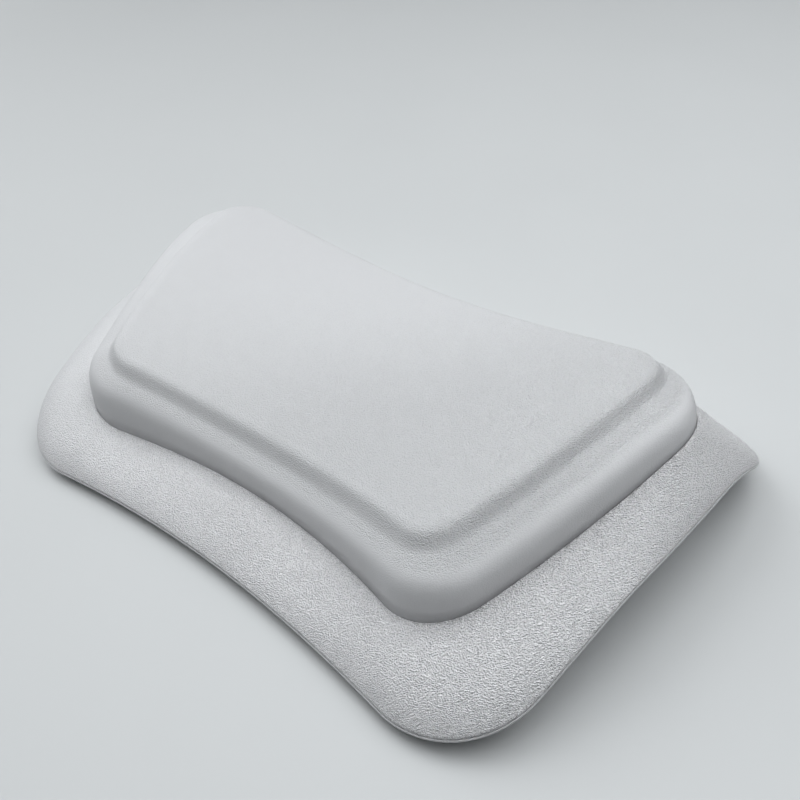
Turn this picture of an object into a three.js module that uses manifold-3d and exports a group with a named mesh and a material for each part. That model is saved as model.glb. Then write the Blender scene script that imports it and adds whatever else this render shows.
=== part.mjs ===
// Two-tier moulded foam bath pillow with four swivelling suction cups.
// Millimetres, +Z up. X runs along the long axis, -Y is the near long side, +Y the far long side.
// The pillow lies on its cups: their lips are at height zero.

import * as THREE from 'three';
import { mergeVertices } from 'three/addons/utils/BufferGeometryUtils.js';
import Module from 'manifold-3d';

const wasm = await Module();
wasm.setup();

// Air left between hard pieces that lie against each other, and between foam and its skin.
const seatGap = 0.3;
const foamGap = 0.5;

// Head face of the upper tier, seen from above. Reaches are measured on the two axes.
const faceNearReach = 47.2;
const faceNearRadius = 341;
const faceFarReach = 67.4;
const faceFarRadius = 1100;
const faceEndReach = 114.5;
const faceEndRadius = 386;
const faceEndLean = 15.1;
const faceNearCorner = 15.2;
const faceFarCorner = 18.3;

// Foot of the upper tier: how far its outline lies outside the head face.
const shoulderNear = 12.6;
const shoulderFar = 6.9;
const shoulderEnd = 19.7;
const footNearRadius = 293;
const footFarRadius = 909;
const footEndRadius = 498;
const footEndLean = 16.1;
const footNearCorner = 27.5;
const footFarCorner = 30;

// Rim of the base pad: how far its outline lies outside the foot.
const flangeNear = 31.1;
const flangeFar = 28.8;
const flangeEnd = 21.2;
const rimNearRadius = 647;
const rimFarRadius = 9090;
const rimEndRadius = 935;
const rimEndLean = 6.7;
const rimNearCorner = 40.5;
const rimFarCorner = 34.3;

// Head face: its middle height and tilt, the rise of its ends, how far they ease off again
// towards their edge and towards the far corners, and the fall of its far side.
const faceHeight = 47.4;
const faceTilt = 8.2;
const faceEndRise = 24.5;
const faceEndEase = 5;
const faceCornerEase = 3.6;
const faceFarFall = 7.1;

// Soft step round the head face: how far inside the face's outline it starts, its width and its
// depth. The shoulder outside it slopes down by its own fall before it rounds over, and that
// changes from the near side to the far side.
const stepInset = 2.3;
const stepWidth = 6.9;
const stepDepth = 3.5;
const shoulderNearFall = 8;
const shoulderFarFall = 3;
const shoulderChangeReach = 45;

// Deck that the upper tier stands on.
const tierHeight = 22.2;
const deckTilt = 7.5;
const deckEndRise = 7.2;
const deckEndLift = 12.9;
const deckCornerEase = 3.8;

// Height of the rim: low along the near side, arched up at the ends, low again at the far side.
const rimNearHeight = 6.1;
const rimCornerRise = 3.8;
const rimCornerReach = 140;
const rimEndRise = 25.9;
const rimRiseStart = 124.3;
const rimRiseEnd = 10.4;
const rimFarFall = 31.2;
const rimFallStart = 40.6;
const rimFallEnd = 113.4;

// Where the flange's section changes from its near fullness to its far one.
const flangeChangeStart = 20;
const flangeChangeEnd = 110;

// Skins and the lip where the two mould halves meet.
const skinThickness = 1.6;
const lipThickness = 1.3;
const lipReach = 0.3;
const rimEdgeWidth = 1;

// Back block under the pad: how far its flat bottom lies inside the rim, and its height.
const blockNearInset = 23;
const blockFarInset = 36;
const blockEndInset = 38;
const blockHeight = 8;
const blockCorner = 26;

// Moulded-in plate.
const plateInset = 8;
const plateThickness = 3;

// Suction cups and their sockets. The insets are measured from the block's reaches.
const cupNearEndInset = 40;
const cupNearSideInset = 26;
const cupFarEndInset = 26;
const cupFarSideInset = 21;
const cupRadius = 18;
const cupLipWidth = 1.6;
const cupHeight = 5.2;
const cupWall = 1.5;
const cupLipHeight = 1;
const neckRadius = 4;
const headRadius = 6;
const headHeight = 3.4;
const socketWall = 2;
const socketLip = 2.4;
const socketRoof = 1.6;
const collarReach = 4.5;
const collarThickness = 1.4;
const ridgeReach = 0.8;
const stemPlay = 0.3;
const headPlay = 0.8;

// Overrun of every cutting body past the face that it cuts.
const cutOverrun = 2;

// Sampling of the outlines and round pieces.
const sideSteps = 5;
const cornerSteps = 4;
const endSteps = 4;
const flangeSteps = 7;
const roundSteps = 24;

// Rings inside an outline, as shares of its distance from the middle.
const innerRingShares = [0.36, 0.7, 0.93];

const deckShares = [0.85, 0.45];

// Rings round the side of the upper tier, as shares of the quarter turn from face to foot.
const tierRingShares = [0.001, 0.004, 0.012, 0.03, 0.08, 0.2, 0.4, 0.62, 0.82, 0.94, 1];

// Fullness of the rounded sections: 2 is a round quarter, 1 a straight slope. The draft is how
// far the steep end leans, as a share of the width. The flange goes from its near fullness to
// its far one between the start and the end of its change.
const tierFullness = 6;
const tierDraft = 0.12;
const flangeNearFullness = 2.2;
const flangeFarFullness = 0.9;
const flangeDraft = 0.25;

// Section of the underside from the rim to the edge of the back block: plan share, height share.
const undersideShares = [
  [0.1, 0.02],
  [0.3, 0.08],
  [0.5, 0.28],
  [0.7, 0.62],
  [0.86, 0.9],
  [1, 1],
];

// Curves of the cup's dish and of its snap head: reach share, rise share.
const dishCurveShares = [
  [0.3, 0.97],
  [0.6, 0.78],
  [0.85, 0.42],
];
const headCurveShares = [
  [1, 0],
  [1, 0.35],
  [0.8, 0.75],
  [0.45, 1],
];

// Outlines, seen from above.

function crossing(centreA, radiusA, centreB, radiusB) {
  // The right-hand crossing of two circles.
  const span = centreB.clone().sub(centreA);
  const distance = span.length();
  const along = (distance ** 2 + radiusA ** 2 - radiusB ** 2) / (2 * distance);
  const across = Math.sqrt(Math.max(radiusA ** 2 - along ** 2, 0));
  const unit = span.divideScalar(distance);
  const foot = centreA.clone().addScaledVector(unit, along);
  const side = new THREE.Vector2(-unit.y, unit.x);
  const first = foot.clone().addScaledVector(side, across);
  const second = foot.clone().addScaledVector(side, -across);
  return first.x > second.x ? first : second;
}

function towards(centre, radius, point) {
  return centre.clone().add(point.clone().sub(centre).setLength(radius));
}

function arcPoints(centre, start, end, steps) {
  // Points from start up to, but not including, end, the short way round the centre.
  const radius = start.distanceTo(centre);
  const from = Math.atan2(start.y - centre.y, start.x - centre.x);
  const to = Math.atan2(end.y - centre.y, end.x - centre.x);
  const turn = Math.atan2(Math.sin(to - from), Math.cos(to - from));
  const points = [];
  for (let i = 0; i < steps; i++) {
    const angle = from + (turn * i) / steps;
    const x = centre.x + radius * Math.cos(angle);
    const y = centre.y + radius * Math.sin(angle);
    points.push(new THREE.Vector2(x, y));
  }
  return points;
}

function outline(size, inset = 0) {
  // A closed outline, mirrored about the Y axis: a drawn-in near side, a bowed far side,
  // leaning bowed ends and four round corners. An inset moves all of it inwards.
  const lean = THREE.MathUtils.degToRad(size.endLean);
  const nearCentre = new THREE.Vector2(0, -size.nearReach - size.nearRadius);
  const farCentre = new THREE.Vector2(0, size.farReach - size.farRadius);
  const endCentreX = size.endReach - size.endRadius * Math.cos(lean);
  const endCentre = new THREE.Vector2(endCentreX, size.endRadius * Math.sin(lean));
  const nearRadius = size.nearRadius + inset;
  const farRadius = size.farRadius - inset;
  const endRadius = size.endRadius - inset;
  const nearFillet = crossing(
    nearCentre, size.nearRadius + size.nearCorner,
    endCentre, size.endRadius - size.nearCorner,
  );
  const farFillet = crossing(
    farCentre, size.farRadius - size.farCorner,
    endCentre, size.endRadius - size.farCorner,
  );
  const nearMiddle = new THREE.Vector2(0, nearCentre.y + nearRadius);
  const farMiddle = new THREE.Vector2(0, farCentre.y + farRadius);
  const nearTouch = towards(nearCentre, nearRadius, nearFillet);
  const endTouchNear = towards(endCentre, endRadius, nearFillet);
  const endTouchFar = towards(endCentre, endRadius, farFillet);
  const farTouch = towards(farCentre, farRadius, farFillet);
  const half = [
    ...arcPoints(nearCentre, nearMiddle, nearTouch, sideSteps),
    ...arcPoints(nearFillet, nearTouch, endTouchNear, cornerSteps),
    ...arcPoints(endCentre, endTouchNear, endTouchFar, endSteps),
    ...arcPoints(farFillet, endTouchFar, farTouch, cornerSteps),
    ...arcPoints(farCentre, farTouch, farMiddle, sideSteps),
    farMiddle,
  ];
  const mirrored = half.slice(1, -1).reverse().map((p) => new THREE.Vector2(-p.x, p.y));
  return [...half, ...mirrored];
}

const faceSize = {
  nearReach: faceNearReach,
  nearRadius: faceNearRadius,
  farReach: faceFarReach,
  farRadius: faceFarRadius,
  endReach: faceEndReach,
  endRadius: faceEndRadius,
  endLean: faceEndLean,
  nearCorner: faceNearCorner,
  farCorner: faceFarCorner,
};

const footSize = {
  nearReach: faceNearReach + shoulderNear,
  nearRadius: footNearRadius,
  farReach: faceFarReach + shoulderFar,
  farRadius: footFarRadius,
  endReach: faceEndReach + shoulderEnd,
  endRadius: footEndRadius,
  endLean: footEndLean,
  nearCorner: footNearCorner,
  farCorner: footFarCorner,
};

const rimSize = {
  nearReach: footSize.nearReach + flangeNear,
  nearRadius: rimNearRadius,
  farReach: footSize.farReach + flangeFar,
  farRadius: rimFarRadius,
  endReach: footSize.endReach + flangeEnd,
  endRadius: rimEndRadius,
  endLean: rimEndLean,
  nearCorner: rimNearCorner,
  farCorner: rimFarCorner,
};

const blockSize = {
  nearReach: rimSize.nearReach - blockNearInset,
  nearRadius: rimNearRadius + blockNearInset,
  farReach: rimSize.farReach - blockFarInset,
  farRadius: rimFarRadius - blockFarInset,
  endReach: rimSize.endReach - blockEndInset,
  endRadius: rimEndRadius - blockEndInset,
  endLean: rimEndLean,
  nearCorner: blockCorner,
  farCorner: blockCorner,
};

// Heights above the surface that the cups stand on.

const faceSlope = Math.tan(THREE.MathUtils.degToRad(faceTilt));
const deckSlope = Math.tan(THREE.MathUtils.degToRad(deckTilt));

function faceZ(x, y) {
  const end = (x / faceSize.endReach) ** 2;
  const far = y / faceSize.farReach;
  const rise = faceEndRise * end - faceEndEase * end ** 2 - faceCornerEase * end * far;
  return faceHeight + rise - faceFarFall * Math.max(far, 0) ** 2 + y * faceSlope;
}

function deckZ(x, y) {
  const end = (x / footSize.endReach) ** 2;
  const far = y / footSize.farReach;
  const rise = deckEndRise * end + deckEndLift * end ** 2 - deckCornerEase * end * far;
  return faceHeight - tierHeight + rise + y * deckSlope;
}

function riseShare(y) {
  return THREE.MathUtils.smoothstep(y, -rimRiseStart, -rimRiseEnd);
}

function rimZ(x, y) {
  const nearShare = riseShare(-rimSize.nearReach);
  const rise = (riseShare(y) - nearShare) / (1 - nearShare);
  const fall = THREE.MathUtils.smoothstep(y, rimFallStart, rimFallEnd);
  const corner = rimCornerRise * (x / rimCornerReach) ** 2 * (1 - rise);
  return rimNearHeight + corner + rimEndRise * rise - rimFarFall * fall;
}

// Rings of points, one for each level of a section. All outlines have as many points, so
// the same place in each ring belongs together.

const middleY = (faceFarReach - faceNearReach) / 2;

function ringOn(points, height, lift = 0) {
  return points.map((p) => new THREE.Vector3(p.x, p.y, height(p.x, p.y) + lift));
}

function shrunkRings(points, shares, height) {
  // Rings on smaller copies of an outline, round the middle of the pillow.
  return shares.map((share) => points.map((p) => {
    const x = p.x * share;
    const y = middleY + (p.y - middleY) * share;
    return new THREE.Vector3(x, y, height(x, y));
  }));
}

function blendedRings(inner, outer, shares) {
  return shares.map(([planShare, dropShare]) => inner.map((from, i) => {
    const x = THREE.MathUtils.lerp(from.x, outer[i].x, planShare);
    const y = THREE.MathUtils.lerp(from.y, outer[i].y, planShare);
    return new THREE.Vector3(x, y, THREE.MathUtils.lerp(from.z, outer[i].z, dropShare));
  }));
}

function quarterShares(turnShare, fullness, draft) {
  // Plan share and drop share that far round a quarter of a superellipse, level at its start.
  const angle = (Math.PI * turnShare) / 2;
  const across = Math.sin(angle) ** (2 / fullness);
  const down = 1 - Math.abs(Math.cos(angle)) ** (2 / fullness);
  return [THREE.MathUtils.lerp(across, down, draft), down];
}

function shoulderFall(y) {
  const share = THREE.MathUtils.smoothstep(y, -shoulderChangeReach, shoulderChangeReach);
  return THREE.MathUtils.lerp(shoulderNearFall, shoulderFarFall, share);
}

function sideRing(plateau, foot, turnShare) {
  // One ring round the side of the upper tier: soft step, sloping shoulder and drafted wall.
  const [planShare, dropShare] = quarterShares(turnShare, tierFullness, tierDraft);
  return plateau.map((from, i) => {
    const to = foot[i];
    const width = Math.hypot(to.x - from.x, to.y - from.y);
    const step = stepDepth * THREE.MathUtils.smootherstep(width * planShare, 0, stepWidth);
    const fall = shoulderFall(to.y);
    const rounding = (from.z - to.z - stepDepth - fall) * dropShare;
    const x = THREE.MathUtils.lerp(from.x, to.x, planShare);
    const y = THREE.MathUtils.lerp(from.y, to.y, planShare);
    return new THREE.Vector3(x, y, from.z - step - fall * planShare - rounding);
  });
}

function flangeFullness(y) {
  const share = THREE.MathUtils.smoothstep(y, flangeChangeStart, flangeChangeEnd);
  return THREE.MathUtils.lerp(flangeNearFullness, flangeFarFullness, share);
}

function flangeRings(foot, rim) {
  // From the foot of the upper tier over the flange to the rim.
  const rings = [];
  for (let i = 1; i <= flangeSteps; i++) {
    rings.push(foot.map((from, j) => {
      const fullness = flangeFullness(rim[j].y);
      const [planShare, dropShare] = quarterShares(i / flangeSteps, fullness, flangeDraft);
      const x = THREE.MathUtils.lerp(from.x, rim[j].x, planShare);
      const y = THREE.MathUtils.lerp(from.y, rim[j].y, planShare);
      return new THREE.Vector3(x, y, THREE.MathUtils.lerp(from.z, rim[j].z, dropShare));
    }));
  }
  return rings;
}

function rimRing(inset, lift) {
  // A ring along the rim: moved inwards by the inset, and at the rim's own height plus the lift.
  const rim = outline(rimSize);
  return outline(rimSize, inset).map((p, i) => {
    return new THREE.Vector3(p.x, p.y, rimZ(rim[i].x, rim[i].y) + lift);
  });
}

function pole(height) {
  return new THREE.Vector3(0, middleY, height(0, middleY));
}

// Closed bodies from rings.

function bandFaces(corners, ringCount, pointCount, firstIndex, closes) {
  // Each four-sided patch is split along its shorter diagonal.
  const faces = [];
  const at = (i, j) => firstIndex + (i % ringCount) * pointCount + (j % pointCount);
  const bands = closes ? ringCount : ringCount - 1;
  for (let i = 0; i < bands; i++) {
    for (let j = 0; j < pointCount; j++) {
      const [a, b, c, d] = [at(i, j), at(i, j + 1), at(i + 1, j + 1), at(i + 1, j)];
      if (corners[a].distanceTo(corners[c]) < corners[b].distanceTo(corners[d])) {
        faces.push(a, b, c, a, c, d);
      } else {
        faces.push(a, b, d, b, c, d);
      }
    }
  }
  return faces;
}

function outwardGeometry(corners, faces) {
  let volume = 0;
  for (let i = 0; i < faces.length; i += 3) {
    const [a, b, c] = faces.slice(i, i + 3).map((index) => corners[index]);
    volume += a.dot(b.clone().cross(c));
  }
  const geometry = new THREE.BufferGeometry();
  const places = corners.flatMap((p) => [p.x, p.y, p.z]);
  geometry.setAttribute('position', new THREE.Float32BufferAttribute(places, 3));
  geometry.setIndex(volume < 0 ? [...faces].reverse() : faces);
  return geometry;
}

function cappedBody(firstPole, rings, lastPole) {
  // A fan round each pole and a band between each two rings.
  const count = rings[0].length;
  const corners = [firstPole, ...rings.flat(), lastPole];
  const last = corners.length - 1;
  const lastRing = last - count;
  const faces = bandFaces(corners, rings.length, count, 1, false);
  for (let j = 0; j < count; j++) {
    const next = (j + 1) % count;
    faces.push(0, 1 + next, 1 + j);
    faces.push(last, lastRing + j, lastRing + next);
  }
  return outwardGeometry(corners, faces);
}

function frameBody(rings) {
  // A body that goes all the way round: the last ring joins the first.
  const corners = rings.flat();
  return outwardGeometry(corners, bandFaces(corners, rings.length, rings[0].length, 0, true));
}

// Booleans.

function solidOf(geometry) {
  const bare = geometry.clone();
  bare.deleteAttribute('normal');
  bare.deleteAttribute('uv');
  const welded = mergeVertices(bare);
  return new wasm.Manifold(new wasm.Mesh({
    numProp: 3,
    vertProperties: new Float32Array(welded.attributes.position.array),
    triVerts: new Uint32Array(welded.index.array),
  }));
}

function geometryOf(solid) {
  const mesh = solid.getMesh();
  const geometry = new THREE.BufferGeometry();
  geometry.setAttribute('position', new THREE.BufferAttribute(mesh.vertProperties, 3));
  geometry.setIndex(new THREE.BufferAttribute(mesh.triVerts, 1));
  return geometry;
}

function slab(points, bottom, thickness) {
  const shape = new THREE.Shape(points);
  const geometry = new THREE.ExtrudeGeometry(shape, { depth: thickness, bevelEnabled: false });
  return geometry.translate(0, 0, bottom);
}

function cylinder(place, radius, bottom, top) {
  const height = top - bottom;
  const geometry = new THREE.CylinderGeometry(radius, radius, height, roundSteps);
  geometry.rotateX(Math.PI / 2);
  return geometry.translate(place.x, place.y, bottom + height / 2);
}

function drilled(geometry, places, radius, bottom, top) {
  let solid = solidOf(geometry);
  for (const place of places) {
    solid = solid.subtract(solidOf(cylinder(place, radius, bottom, top)));
  }
  return geometryOf(solid);
}

// Places of the cups, on the block's bottom.

const cupNearX = blockSize.endReach - cupNearEndInset;
const cupNearY = cupNearSideInset - blockSize.nearReach;
const cupFarX = blockSize.endReach - cupFarEndInset;
const cupFarY = blockSize.farReach - cupFarSideInset;
const cupPlaces = {
  near_left: new THREE.Vector2(-cupNearX, cupNearY),
  near_right: new THREE.Vector2(cupNearX, cupNearY),
  far_left: new THREE.Vector2(-cupFarX, cupFarY),
  far_right: new THREE.Vector2(cupFarX, cupFarY),
};
const places = Object.values(cupPlaces);

// Levels of the sockets, the plate and the skins above the block's flat bottom.

const backInside = blockHeight + skinThickness;
const plateBottom = backInside + seatGap;
const plateTop = plateBottom + plateThickness;
const collarTop = blockHeight - seatGap;
const socketBottom = collarTop - collarThickness;
const chamberBottom = socketBottom + socketLip;
const headBottom = chamberBottom + stemPlay;
const headTop = headBottom + headHeight;
const chamberTop = headTop + stemPlay;
const socketTop = chamberTop + socketRoof;
const chamberRadius = headRadius + headPlay;
const socketRadius = chamberRadius + socketWall;
const socketHoleRadius = socketRadius + seatGap;

// Upper tier.

const foamOffset = skinThickness + foamGap;

function tierRings(inset) {
  // From the inside of the head face, over its edge, the step and the shoulder, to the foot.
  const edge = outline(faceSize, inset + stepInset);
  const lowered = (x, y) => faceZ(x, y) - inset;
  const inner = shrunkRings(edge, innerRingShares, lowered);
  const plateau = ringOn(edge, lowered);
  const foot = ringOn(outline(footSize, inset), deckZ);
  const side = tierRingShares.map((share) => sideRing(plateau, foot, share));
  return [...inner, plateau, ...side];
}

function facePole(inset) {
  return pole(faceZ).sub(new THREE.Vector3(0, 0, inset));
}

function cushionSkin() {
  const outer = tierRings(0);
  const inner = tierRings(skinThickness).reverse();
  return cappedBody(facePole(0), [...outer, ...inner], facePole(skinThickness));
}

function cushionCore() {
  const rings = tierRings(foamOffset);
  const bottom = shrunkRings(outline(footSize), deckShares, deckZ);
  return cappedBody(facePole(foamOffset), [...rings, ...bottom], pole(deckZ));
}

// Base pad.

const lipTopLift = lipThickness / 2;
const rollLift = lipTopLift + seatGap;

function flangeSkin() {
  const footTop = ringOn(outline(footSize, -seatGap), deckZ);
  const footBottom = ringOn(outline(footSize, -seatGap), deckZ, -skinThickness);
  const rimOut = rimRing(lipReach, rollLift);
  const rimIn = rimRing(lipReach + skinThickness, rollLift);
  const top = flangeRings(footTop, rimOut);
  const bottom = flangeRings(footBottom, rimIn).reverse();
  return frameBody([footTop, ...top, ...bottom, footBottom]);
}

function undersideRings(rimInset, rimLift, blockInset) {
  // From the rim in to the edge of the block's flat bottom.
  const rim = rimRing(rimInset, rimLift);
  const block = outline(blockSize, blockInset);
  const level = blockHeight + blockInset;
  const edge = block.map((p) => new THREE.Vector3(p.x, p.y, level));
  return [rim, ...blendedRings(rim, edge, undersideShares)];
}

function backSkin() {
  const flatBottom = () => blockHeight;
  const flatInside = () => backInside;
  const outside = undersideRings(0, -lipTopLift, 0).reverse();
  const lipTop = rimRing(0, lipTopLift);
  const inside = undersideRings(lipReach + skinThickness, lipTopLift, skinThickness);
  const rings = [...outside, lipTop, ...inside];
  const blank = cappedBody(pole(flatBottom), rings, pole(flatInside));
  return drilled(
    blank, places, socketHoleRadius,
    blockHeight - cutOverrun, backInside + cutOverrun,
  );
}

function baseCore() {
  const deckEdge = ringOn(outline(footSize), deckZ, -seatGap);
  const bedEdge = ringOn(outline(footSize), deckZ, -foamOffset);
  const deckLevel = (x, y) => deckZ(x, y) - seatGap;
  const deck = shrunkRings(outline(footSize), deckShares, deckLevel).reverse();
  const rimEdge = rimRing(lipReach + foamOffset, rollLift);
  const bed = flangeRings(bedEdge, rimEdge);
  const rimInset = lipReach + foamOffset + rimEdgeWidth;
  const underside = undersideRings(rimInset, rollLift, foamOffset);
  const flat = () => blockHeight + foamOffset;
  const rings = [...deck, deckEdge, bedEdge, ...bed, ...underside];
  const blank = cappedBody(pole(deckLevel), rings, pole(flat));
  const cutBottom = blockHeight;
  const plateBed = outline(blockSize, skinThickness + plateInset - foamGap);
  const bedDepth = plateTop + foamGap - cutBottom;
  const recessed = solidOf(blank).subtract(solidOf(slab(plateBed, cutBottom, bedDepth)));
  const pocketRadius = socketRadius + ridgeReach + foamGap;
  return drilled(
    geometryOf(recessed), places, pocketRadius,
    cutBottom, socketTop + foamGap,
  );
}

function stiffenerPlate() {
  const blank = slab(outline(blockSize, skinThickness + plateInset), plateBottom, plateThickness);
  return drilled(
    blank, places, socketHoleRadius,
    plateBottom - cutOverrun, plateTop + cutOverrun,
  );
}

// Cups and sockets, turned about their own axes.

function turnedPiece(profile) {
  const geometry = new THREE.LatheGeometry(profile, roundSteps);
  return geometry.rotateX(Math.PI / 2);
}

function point(radius, height) {
  return new THREE.Vector2(radius, height);
}

function socketProfile() {
  const holeRadius = neckRadius + stemPlay;
  const ridgeBottom = plateTop + seatGap;
  const ridgeRadius = socketRadius + ridgeReach;
  return [
    point(0, chamberTop),
    point(chamberRadius, chamberTop),
    point(chamberRadius, chamberBottom),
    point(holeRadius, chamberBottom),
    point(holeRadius, socketBottom),
    point(socketRadius + collarReach, socketBottom),
    point(socketRadius + collarReach, collarTop),
    point(socketRadius, collarTop),
    point(socketRadius, ridgeBottom),
    point(ridgeRadius, ridgeBottom),
    point(socketRadius, socketTop),
    point(0, socketTop),
  ];
}

function cupProfile() {
  // The dish inside, the lip, the dish outside, the neck and the snap head.
  const dishTop = cupHeight - cupWall;
  const lipInner = cupRadius - cupLipWidth;
  const inside = dishCurveShares.map(([reach, rise]) => point(lipInner * reach, dishTop * rise));
  const outside = dishCurveShares.map(([reach, rise]) => {
    const radius = THREE.MathUtils.lerp(neckRadius, cupRadius, reach);
    return point(radius, THREE.MathUtils.lerp(cupLipHeight, cupHeight, rise));
  });
  const head = headCurveShares.map(([reach, rise]) => {
    return point(headRadius * reach, headBottom + headHeight * rise);
  });
  return [
    point(0, dishTop),
    ...inside,
    point(lipInner, 0),
    point(cupRadius, 0),
    point(cupRadius, cupLipHeight),
    ...outside.reverse(),
    point(neckRadius, cupHeight),
    point(neckRadius, headBottom),
    ...head,
    point(0, headTop),
  ];
}

// Materials and the scene.

const skinLook = { color: 0xe4e4e6, roughness: 0.62, metalness: 0 };
const foamLook = { color: 0xe9e4d2, roughness: 0.9, metalness: 0 };
const plateLook = { color: 0xd8dadb, roughness: 0.5, metalness: 0 };
const socketLook = { color: 0xdcdde0, roughness: 0.4, metalness: 0 };
const cupLook = { color: 0xc9d1d4, roughness: 0.25, metalness: 0 };

function piece(name, geometry, look) {
  const mesh = new THREE.Mesh(geometry, new THREE.MeshStandardMaterial(look));
  mesh.name = name;
  return mesh;
}

const pillow = new THREE.Group();
pillow.add(piece('cushion_skin', cushionSkin(), skinLook));
pillow.add(piece('flange_skin', flangeSkin(), skinLook));
pillow.add(piece('back_skin', backSkin(), skinLook));
pillow.add(piece('cushion_core', cushionCore(), foamLook));
pillow.add(piece('base_core', baseCore(), foamLook));
pillow.add(piece('stiffener_plate', stiffenerPlate(), plateLook));

for (const [corner, place] of Object.entries(cupPlaces)) {
  const station = new THREE.Group();
  station.position.set(place.x, place.y, 0);
  station.add(piece(`cup_socket_${corner}`, turnedPiece(socketProfile()), socketLook));
  station.add(piece(`suction_cup_${corner}`, turnedPiece(cupProfile()), cupLook));
  pillow.add(station);
}

// The origin is the middle of the rim's own box.
const rimBox = new THREE.Box2().setFromPoints(outline(rimSize));
pillow.position.y = -(rimBox.min.y + rimBox.max.y) / 2;

const part = new THREE.Group();
part.add(pillow);

export default part;
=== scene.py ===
"""A white moulded foam bath pillow on a pale table, dressed over its CAD frame.

Lengths are in millimetres, and in metres in the meshes and where a comment says so. X runs along
the long axis, -Y is the near long side, +Y the far long side, and +Z is up, as in the CAD frame.
"""

import math

import bpy
import numpy as np
from mathutils import Matrix, Vector


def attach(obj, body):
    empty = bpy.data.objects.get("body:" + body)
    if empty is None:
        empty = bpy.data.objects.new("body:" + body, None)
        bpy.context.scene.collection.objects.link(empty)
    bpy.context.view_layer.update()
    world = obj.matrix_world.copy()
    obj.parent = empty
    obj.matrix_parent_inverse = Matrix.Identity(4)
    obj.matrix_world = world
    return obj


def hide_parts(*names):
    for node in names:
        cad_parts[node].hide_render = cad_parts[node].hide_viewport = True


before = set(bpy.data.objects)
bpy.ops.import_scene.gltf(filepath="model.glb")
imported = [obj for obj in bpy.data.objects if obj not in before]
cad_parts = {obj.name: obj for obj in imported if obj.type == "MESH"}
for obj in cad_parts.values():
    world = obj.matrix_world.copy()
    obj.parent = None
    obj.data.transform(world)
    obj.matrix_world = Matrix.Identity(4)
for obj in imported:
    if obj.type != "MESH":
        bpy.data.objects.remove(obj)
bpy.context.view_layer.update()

MM = 0.001

# Outlines seen from above: reaches on the two axes, side and end radii, the lean of the ends in
# degrees, and the corner radii.
FACE = {
    "near_reach": 47.2, "near_radius": 341, "far_reach": 67.4, "far_radius": 1100,
    "end_reach": 114.5, "end_radius": 386, "end_lean": 15.1,
    "near_corner": 15.2, "far_corner": 18.3,
}
FOOT = {
    "near_reach": 59.8, "near_radius": 293, "far_reach": 74.3, "far_radius": 909,
    "end_reach": 134.2, "end_radius": 498, "end_lean": 16.1,
    "near_corner": 27.5, "far_corner": 30,
}
RIM = {
    "near_reach": 90.9, "near_radius": 647, "far_reach": 103.1, "far_radius": 9090,
    "end_reach": 155.4, "end_radius": 935, "end_lean": 6.7,
    "near_corner": 40.5, "far_corner": 34.3,
}
BLOCK_NEAR_INSET = 23
BLOCK_FAR_INSET = 36
BLOCK_END_INSET = 38
BLOCK_CORNER = 26
BLOCK = {
    "near_reach": RIM["near_reach"] - BLOCK_NEAR_INSET,
    "near_radius": RIM["near_radius"] + BLOCK_NEAR_INSET,
    "far_reach": RIM["far_reach"] - BLOCK_FAR_INSET,
    "far_radius": RIM["far_radius"] - BLOCK_FAR_INSET,
    "end_reach": RIM["end_reach"] - BLOCK_END_INSET,
    "end_radius": RIM["end_radius"] - BLOCK_END_INSET,
    "end_lean": RIM["end_lean"],
    "near_corner": BLOCK_CORNER, "far_corner": BLOCK_CORNER,
}

# Head face: its middle height and tilt, the rise of its ends, how far they ease off again
# towards their edge and towards the far corners, and the fall of its far side.
FACE_HEIGHT = 47.4
FACE_TILT = 8.2
FACE_END_RISE = 24.5
FACE_END_EASE = 5
FACE_CORNER_EASE = 3.6
FACE_FAR_FALL = 7.1

# Step round the head face, and how far the shoulder falls at the near side and at the far side.
STEP_INSET = 2.3
STEP_WIDTH = 6.9
STEP_DEPTH = 3.5
SHOULDER_FALL = (8, 3)
SHOULDER_SPAN = (-45, 45)

# Deck that the upper tier stands on.
TIER_HEIGHT = 22.2
DECK_TILT = 7.5
DECK_END_RISE = 7.2
DECK_END_LIFT = 12.9
DECK_CORNER_EASE = 3.8

# Height of the rim: low along the near side, arched up at the ends, low again at the far side.
RIM_NEAR_HEIGHT = 6.1
RIM_CORNER_RISE = 3.8
RIM_CORNER_REACH = 140
RIM_END_RISE = 25.9
RIM_RISE_SPAN = (-124.3, -10.4)
RIM_FAR_FALL = 31.2
RIM_FALL_SPAN = (40.6, 113.4)
BLOCK_HEIGHT = 8

# Depth of the grain on the side wall, as a share of its depth on the head face, and the levels
# over which it fades, with 0 at the edge of the face and 1 at the foot.
WALL_GRAIN = 0.25
GRAIN_FADE_SPAN = (0.1, 0.4)

# Skins, and the lip where the two mould halves meet. The middle of the lip's rounded edge stands
# in from both its sides by the ease share of the round.
SKIN = 1.6
LIP_THICKNESS = 1.3
LIP_REACH = 0.3
LIP_ROUND = 0.3
LIP_EASE_SHARE = 0.3
SEAT_GAP = 0.3
FOAM_GAP = 0.5
FOAM_EDGE = 1

# Bead where the flange's skin turns up against the upper tier.
BEAD_GAP = 0.03
BEAD_LEAN = 0.04
BEAD_HEIGHT = 0.7
BEAD_REACH = 1.2

# Plate moulded into the foam, inside the block.
PLATE_INSET = 8
PLATE_THICKNESS = 3

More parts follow.
